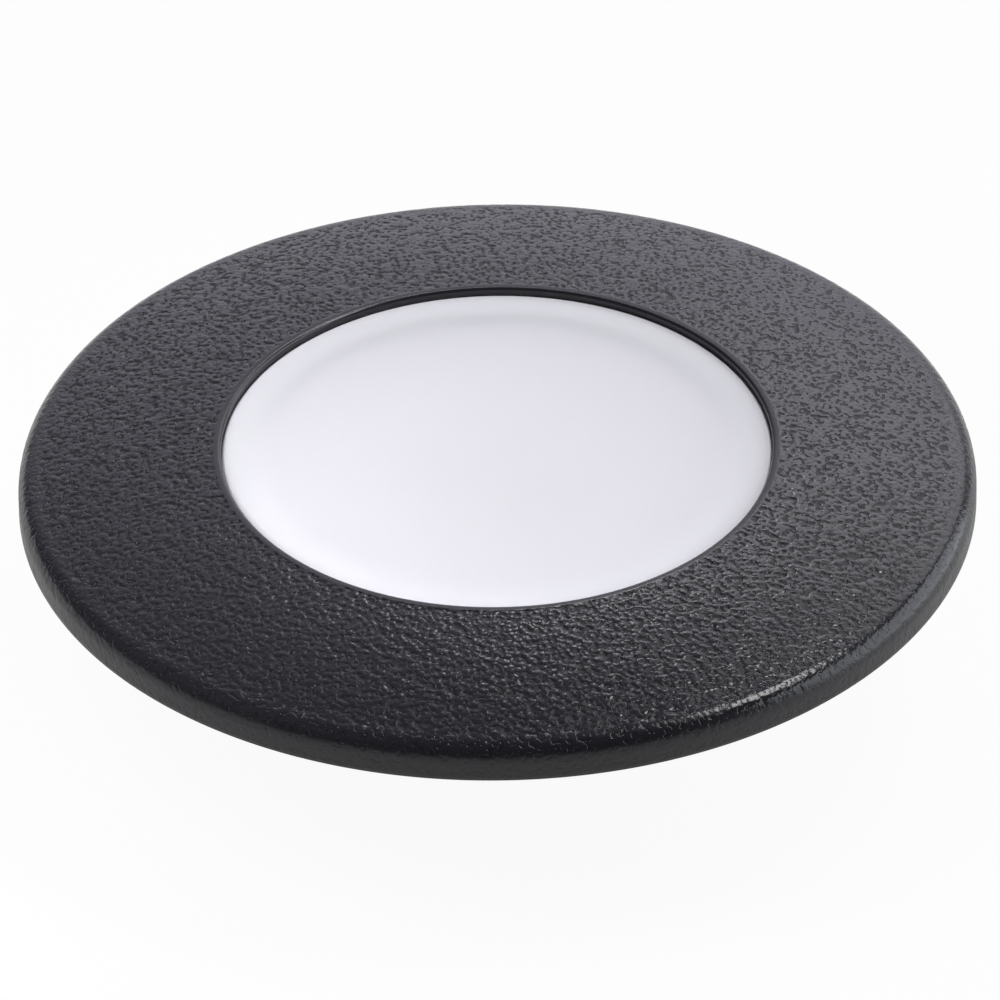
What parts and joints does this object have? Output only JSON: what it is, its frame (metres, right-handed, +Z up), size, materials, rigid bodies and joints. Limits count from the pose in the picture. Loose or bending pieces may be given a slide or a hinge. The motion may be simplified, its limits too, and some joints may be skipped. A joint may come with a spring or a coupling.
{
  "type": "in-ground light",
  "caption": "Round walk-over in-ground light: textured twist-on trim ring, flush frosted lens, sealed cast housing with a side cable gland.",
  "frame": {"origin": "on the light's axis at ground level, in the plane of the ground gasket's underside and the skirt's lower edge", "axes": "+Z up out of the ground along the light's axis, +Y towards the cable gland"},
  "size_m": [0.1, 0.1, 0.0265],
  "materials": {
    "trim_plastic": "black moulded plastic with a coarse pitted grain, semi-gloss",
    "frosted_acrylic": "frosted white acrylic, satin",
    "silicone": "translucent pale silicone, matt",
    "reflector_white": "glossy white moulded plastic",
    "led_phosphor": "yellow phosphor in a white package",
    "led_board_white": "aluminium board under white solder mask",
    "screw_steel": "stainless steel",
    "thermal_pad": "soft grey-blue pad, matt",
    "cast_housing": "die-cast aluminium, dark powder coat with a fine orange peel",
    "cast_cover": "die-cast aluminium, dark powder coat",
    "foam_rubber": "closed-cell foam rubber, matt",
    "black_rubber": "black rubber, matt",
    "wire_red": "wire insulation",
    "board_green": "glass-fibre board under green solder mask",
    "chip_black": "moulded epoxy package",
    "capacitor_can": "drawn aluminium can",
    "ferrite": "sintered ferrite",
    "terminal_green": "moulded green plastic",
    "gland_nylon": "black nylon, satin"
  },
  "bodies": {
    "fixture": {"lens": "frosted_acrylic", "lens_gasket": "silicone", "reflector": "reflector_white", "leds": "led_phosphor", "led_board": "led_board_white", "led_board_screws": "screw_steel", "thermal_pad": "thermal_pad", "housing": "cast_housing", "ground_gasket": "foam_rubber", "wire_grommet": "black_rubber", "link_wires": "wire_red", "driver_board": "board_green", "driver_board_screws": "screw_steel", "rectifier": "chip_black", "capacitor": "capacitor_can", "inductor": "ferrite", "driver_chip": "chip_black", "resistors": "chip_black", "terminal_block": "terminal_green", "terminal_screws": "screw_steel", "base_gasket": "silicone", "base_cover": "cast_cover", "base_screws": "screw_steel", "vent_plug": "gland_nylon", "vent_seal": "silicone", "gland_washer": "black_rubber", "gland_body": "gland_nylon", "gland_seal": "black_rubber", "gland_nut": "gland_nylon"},
    "trim": {"trim_ring": "trim_plastic"}
  },
  "joints": [
    {"name": "trim_twist", "type": "hinge", "parent": "fixture", "child": "trim", "pos_m": [0, 0, 0], "axis": [0, 0, 1], "range_deg": [0, 20]}
  ]
}
